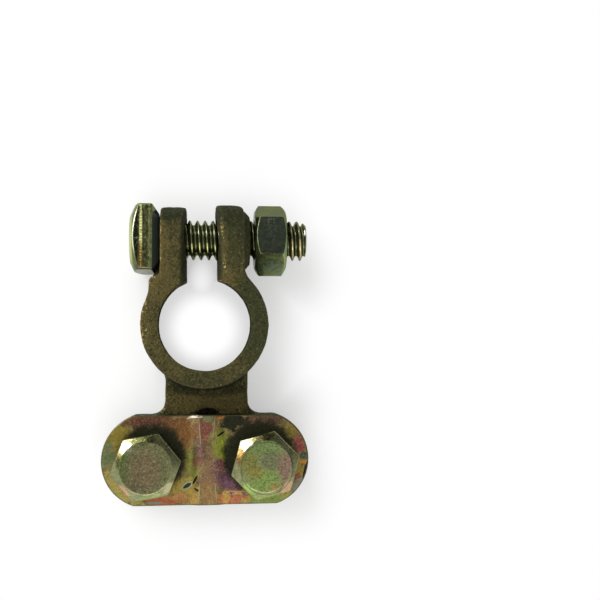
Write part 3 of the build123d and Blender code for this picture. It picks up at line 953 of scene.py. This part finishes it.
def drawn_face(f):
    """The square head's upper face: bars of painted shade and painted highlight, cross lines and
    a row of bright beads.

    Returns its colour and where the beads are.
    """
    y = f.along("Y")
    drawn = f.grain(0.35, 3.0, 0.7, 0.0, (1, 12, 1))
    dapple = f.grain(0.42, 4.0, 0.78, 0.3, (1, 1.6, 1), (0, 0, 50))
    face = f.graded((84, 92, 56), (132, 136, 88), drawn, 0.35, 0.65)
    # bars of painted shade and painted highlight along the face
    for x, half_x, shade in FACE_SHADE_AND_HIGHLIGHTS:
        face = f.over(face, shade, f.patch(x, CLAMP_Y, half_x, 8.0, 0, 0.35, 0.06))
    face = f.over(face, (190, 188, 140), f.patch(FACE_X, 16.5, 1.7, 0.07, 0, 0.4, 0.2))
    face = f.over(face, (150, 128, 76), f.patch(FACE_X, 12.6, 0.45, 2.4, 0, 0.4, 0.3))
    face = f.graded(face, (46, 52, 32), dapple, 0.52, 0.36, 0.85)
    face = f.graded(face, (216, 216, 168), dapple, 0.53, 0.70, 0.7)

    wave = f.maths("SINE", f.maths("MULTIPLY", y, math.tau / BEAD_PITCH))
    beads = f.span(wave, -0.9, 0.7, 0.3, 1.0)
    beads = f.maths("MULTIPLY", beads, f.patch(-12.15, CLAMP_Y, 0.22, 6.2, 0, 0.4, 0))
    beads = f.maths("MULTIPLY", beads, f.span(dapple, 0.34, 0.52, 0.35, 0.9))
    gilt = f.graded((176, 148, 76), (216, 222, 150), y, 15.2, 16.6)
    face = f.over(face, gilt, beads)
    face = f.over(face, (188, 172, 112), f.patch(FACE_X, 10.75, 1.7, 0.22, 0, 0.3, 0.2))
    return face, beads


def bolt_plating():
    """Plate of the square-headed bolt: its face with painted shade and highlights, corners by
    the seat painted dark as shade, and painted highlights on its thread.
    """
    f = Finish(bpy.data.materials.new("bolt_plating"))
    x, y = f.along("X"), f.along("Y")
    proud, upward = f.stored("proud"), f.stored("level")
    level = f.span(upward, 0.93, 0.98)
    colour = yellow_plate(f, (96, 104, 66), (128, 132, 84))

    # the head: its face, the low end, the bevel at the seat and the cone at the outer end
    face, beads = drawn_face(f)
    head = f.patch(-12.0, CLAMP_Y, 3.2, 9.0, 0, 0.02, 0.0)
    colour = f.over(colour, face, f.maths("MULTIPLY", head, level))
    low = f.maths("SUBTRACT", f.patch(-13.0, 10.4, 3.0, 1.0, 0, 0.3, 0.1), level)
    colour = f.over(colour, (80, 78, 62), low)
    bevel = f.patch(-9.2, CLAMP_Y, 0.75, 7.0, 0, 0.1, 0.0)
    colour = f.over(colour, (104, 118, 114), bevel)
    cone = f.maths("MULTIPLY", f.span(x, *CONE_SPAN), f.span(upward, 0.1, 0.3))
    colour = f.over(colour, (220, 224, 170), cone)
    shank = f.span(x, HEAD_SEAT_X - 0.05, HEAD_SEAT_X)
    # painted shade: the corners by the seat dark and matt
    seat_shade = f.span(x, *SEAT_SHADE_SPAN, f.span(y, 21.6, 20.2))
    seat_shade = f.maths("SUBTRACT", seat_shade, shank)
    colour = f.over(colour, (54, 60, 54), seat_shade)
    # a painted highlight along the outer cone's rim
    rim_highlight = f.patch(-13.7, 18.6, 0.9, 5.0, 0, 0.3, 0.2)
    rim_highlight = f.maths("MULTIPLY", rim_highlight, f.span(proud, 0.55, 1.3))
    colour = f.over(colour, (232, 234, 204), rim_highlight)

    # the thread, its crests painted a little lighter than its roots and given painted
    # highlights, and the bolt's end with a painted highlight
    crest = f.span(f.distance(CLAMP_AXIS, (ANYWHERE, 1, 1)), *CREST_SPAN)
    thread = f.over((98, 102, 74), (116, 118, 88), crest)
    glints = [(*place, 0, shade, 1.0) for *place, shade in THREAD_HIGHLIGHTS]
    thread = f.stained(thread, glints, 0.2, 0.1, crest)
    colour = f.over(colour, thread, shank)
    end = f.span(x, BOLT_END_X - 0.12, BOLT_END_X - 0.04)
    colour = f.over(colour, (104, 108, 76), end)
    # a painted highlight on the chamfer at the bolt's end
    colour = f.over(colour, (250, 250, 244), f.patch(19.62, 18.1, 0.15, 0.6, 0, 0.2, 0.1))

    rough = f.span(f.grain(0.7, 4.0, 0.65), 0.3, 0.7, 0.10, 0.22)
    rough = f.maths("MULTIPLY_ADD", seat_shade, 0.8, rough)
    rough = f.maths("MULTIPLY_ADD", end, 0.25, rough)
    painted = f.maths("MAXIMUM", seat_shade, f.maths("MULTIPLY", beads, level))
    metal = f.maths("MULTIPLY_ADD", painted, -0.95, 0.95)
    normal = f.bumped(f.grain(0.9, 3.0, 0.55), 0.03)
    f.shade(colour, metal, rough, normal, Specular_Tint=PLATE_EDGE, Specular_IOR_Level=0.1)
    return f.material


def strap_bolt_plating():
    """Plate of the two strap bolts: tinted chamfers with painted highlights round a scuffed and
    stained top.
    """
    f = Finish(bpy.data.materials.new("strap_bolt_plating"))
    proud, upward = f.stored("proud"), f.stored("level")
    top = f.span(upward, 0.93, 0.99)
    colour = yellow_plate(f, (122, 124, 88), (150, 152, 112), 0.6)
    gilt = f.grain(0.5, 4.0, 0.75, 0.8, (1, 1, 1), (60, 0, 0))
    colour = f.graded(colour, (160, 140, 60), gilt, 0.58, 0.70, 0.9)
    # tints and painted highlights on the chamfers
    colour = f.stained(colour, CHAMFER_TINTS_AND_HIGHLIGHTS, 0.3, 0.4, f.span(upward, 0.25, 0.5))
    colour = f.stained(colour, HEAD_STAINS, 0.5, 0.3, top)

    # scuffs, fewer on the near chamfers
    scuffs = f.grain(0.36, 4.0, 0.78, 0.6)
    far_side = f.span(f.along("Y"), -25.5, -24.0)
    worn = f.maths("MAXIMUM", f.maths("MULTIPLY_ADD", top, 0.7, 0.3), far_side)
    for shade, low, high, full in HEAD_SCUFFS:
        scuff = f.maths("MULTIPLY", f.span(scuffs, low, high, 0.0, full), worn)
        colour = f.over(colour, shade, scuff)

    for x, y, radius, amount in HEAD_RINGS:
        gap = f.maths("SUBTRACT", f.distance((x, y, 0), (1, 1, ANYWHERE)), radius)
        ring = f.span(f.maths("ABSOLUTE", gap), 0.03, 0.15, amount, 0.0)
        colour = f.over(colour, (62, 66, 40), ring)
    colour = f.graded(colour, (62, 60, 38), proud, -0.1, -1.2, 0.7)
    colour = f.graded(colour, (64, 66, 46), proud, 0.8, 2.4, 0.5)
    rough = f.span(f.grain(0.8, 4.0, 0.65), 0.3, 0.7, 0.10, 0.18)
    rough = f.maths("MULTIPLY_ADD", top, 0.26, rough)
    normal = f.bumped(scuffs, 0.02, f.bumped(f.grain(1.0, 4.0, 0.6), 0.04))
    f.shade(colour, 0.92, rough, normal, Specular_Tint=PLATE_EDGE)
    return f.material


def nut_plating():
    """Bluer plate of the nut: its front painted dark as a painted reflection, its lower side
    painted lighter than the upper, with dark edges and a few bright dots.
    """
    f = Finish(bpy.data.materials.new("nut_plating"))
    level = f.stored("level")
    cloud = f.span(f.grain(3.0, 4.0, 0.6, 0.5), 0.42, 0.58)
    # painted light: the lower side lighter than the upper one
    upper = f.over((104, 109, 90), (111, 118, 79), cloud)
    lower = f.over((130, 146, 112), (141, 151, 99), cloud)
    # painted reflection: the front darker, for the dark overhead that it mirrors
    front = f.graded((56, 64, 54), (72, 78, 64), f.grain(0.8, 4.0, 0.7), 0.35, 0.65)
    colour = f.graded(lower, upper, f.along("Y"), 16.4, 17.2)
    colour = f.graded(colour, front, level, 0.86, 0.95)
    dots = f.span(f.grain(0.22, 2.0, 0.6), 0.60, 0.70, 0.0, 0.6)
    dots = f.maths("MULTIPLY", dots, f.patch(12.6, 19.2, 1.0, 2.6, 10, 0.5, 0.5))
    colour = f.over(colour, (190, 196, 176), dots)
    edge = f.maths("MULTIPLY", f.span(level, 0.60, 0.68), f.span(level, 0.97, 0.90))
    edge = f.maths("MULTIPLY", edge, f.patch(13.0, CLAMP_Y, 2.4, 9.0, 0, 0.2, 0))
    colour = f.over(colour, (44, 50, 36), edge)
    rough = f.span(f.grain(0.7, 4.0, 0.65), 0.3, 0.7, 0.14, 0.26)
    normal = f.bumped(f.grain(0.9, 3.0, 0.55), 0.015)
    f.shade(colour, 0.95, rough, normal, Specular_Tint=PLATE_EDGE)
    return f.material


def chromated_strap():
    """Yellow chromate over zinc, stained in every colour it turns, with rubs, scratches, painted
    shade and painted highlights.
    """
    f = Finish(bpy.data.materials.new("chromated_strap"))
    colour = f.graded((118, 92, 64), (146, 134, 80), f.grain(3.6, 4.0, 0.62, 0.8), 0.36, 0.62)
    # stains, and a painted dark reflection by the crown
    colour = f.stained(colour, STRAP_STAINS_AND_REFLECTION, 0.26, 0.85)
    bloom = f.grain(1.1, 4.0, 0.7, 1.2)
    colour = f.graded(colour, (150, 84, 62), bloom, 0.60, 0.72, 0.35)
    colour = f.graded(colour, (120, 130, 66), bloom, 0.42, 0.30, 0.30)
    haze = f.grain(0.8, 4.0, 0.7, 0.8, (1, 1, 1), (40, 0, 0))
    colour = f.graded(colour, (110, 74, 84), haze, 0.60, 0.74, 0.30)
    colour = f.graded(colour, (176, 148, 84), haze, 0.40, 0.27, 0.30)
    speck = f.grain(0.32, 4.0, 0.78, 0.5)
    colour = f.graded(colour, (62, 48, 34), speck, 0.49, 0.33, 0.65)
    colour = f.graded(colour, (196, 178, 128), speck, 0.54, 0.72, 0.42)
    for turn, narrow in ((0, 0.25), (38, 0.2), (-32, 0.2), (80, 0.22)):
        lines = f.grain(0.5, 3.0, 0.7, 0.3, (narrow, 2.6, 1), (turn, 0, 0), turn)
        colour = f.graded(colour, (212, 190, 142), lines, 0.60, 0.70, 0.50)
        colour = f.graded(colour, (60, 44, 34), lines, 0.40, 0.30, 0.50)
    # painted shade round the bolts' heads and a painted dark reflection beside the crown
    painted_shade = f.graded((56, 56, 41), (42, 42, 31), speck, 0.56, 0.42)
    for x, y, reach in STRAP_SHADE:
        colour = f.over(colour, painted_shade, f.patch(x, y, reach, reach, 0, 0.12, 0.10))
    # marks, with painted highlights and painted shade among them
    colour = f.stained(colour, STRAP_MARKS_AND_PAINTED_LIGHT, 0.18, 0.35)
    colour = f.graded(colour, (84, 82, 56), f.stored("proud"), 0.30, 1.1, 0.75)
    rough = f.span(f.grain(0.9, 4.0, 0.65), 0.3, 0.7, 0.34, 0.50)
    normal = f.bumped(f.grain(1.3, 3.0, 0.55), 0.04)
    f.shade(colour, 0.9, rough, normal, Specular_Tint=PLATE_EDGE)
    return f.material


# --- The pieces ----------------------------------------------------------------------------


def casting(material):
    """The clamp's body: ring, lug, ears and neck in one sand-cast piece."""
    piece = softened(merged_copy("clamp_body", "casting"), "casting", CAST_GRAIN, passes=18)
    rolled_slot(piece)
    filled_corner(piece)
    squeezed_bore(piece)
    pitted(piece, [(5.0, 0.10), (1.5, 0.12), (0.8, 0.07)])
    handed_over(piece, material, "clamp_body", "clamp_body")


def clamp_bolt(material, tree):
    """The square-headed bolt through the ears."""
    head = merged_copy("clamp_bolt", "clamp_bolt_head")
    cut_off(head, (HEAD_SEAT_X - SEAT_GAP, 0, 0), (1, 0, 0))
    head = softened(head, "clamp_bolt_head", HEAD_GRAIN, passes=5)
    pitted(head, [(3.0, 0.02)], (4.0, 1.0, 2.0))
    start = HEAD_SEAT_X - CLAMP_THREAD_START
    shank = screw_thread(tree, "clamp_bolt_thread", BOLT_END_X - start, material)
    turn = Matrix.Rotation(math.radians(90), 4, "Y")
    shank.data.transform(Matrix.Translation(CLAMP_AXIS + Vector((start, 0, 0))) @ turn)
    bolt = joined([head, shank], "square_head_bolt")
    handed_over(bolt, material, "clamp_bolt", "clamp_bolt")


def clamp_nut(material):
    """The nut at the other end of that bolt."""
    nut = softened(merged_copy("clamp_nut", "nut"), "hexagon_nut", HEAD_GRAIN, passes=5)
    pitted(nut, [(3.0, 0.02)], (7.0, 3.0, 1.0))
    handed_over(nut, material, "clamp_nut", "clamp_nut")


def cable_strap(material):
    """The pressed strap that holds the cable."""
    piece = softened(merged_copy("cable_strap", "strap"), "pressed_strap", PLATE_GRAIN, passes=5)
    pitted(piece, [(4.0, 0.015)], (1.0, 8.0, 2.0))
    handed_over(piece, material, "cable_strap", "cable_strap")


def strap_bolt(node, material, tree):
    """One of the two hexagon bolts through the strap."""
    x, y = STRAP_BOLTS[node]
    head = merged_copy(node, node + "_head")
    cut_off(head, (0, 0, STRAP_TOP + SEAT_GAP), (0, 0, -1))
    head = softened(head, node + "_head", HEAD_GRAIN, passes=4)
    pitted(head, [(3.0, 0.02)], (x, 1.0, 2.0))
    length = STRAP_BOLT_SHANK + STRAP_THREAD_START
    shank = screw_thread(tree, node + "_thread", length, material)
    flip = Matrix.Rotation(math.pi, 4, "X")
    top = Matrix.Translation((x, y, STRAP_TOP + STRAP_THREAD_START))
    shank.data.transform(top @ flip)
    bolt = joined([head, shank], node.replace("strap", "strap_hexagon"))
    handed_over(bolt, material, node, node)


set_camera()
white_floor()
studio_light()

thread = thread_tree()
casting(cast_brass())
clamp_bolt(bolt_plating(), thread)
clamp_nut(nut_plating())
cable_strap(chromated_strap())
strap_plating = strap_bolt_plating()
for strap_bolt_node in STRAP_BOLTS:
    strap_bolt(strap_bolt_node, strap_plating, thread)
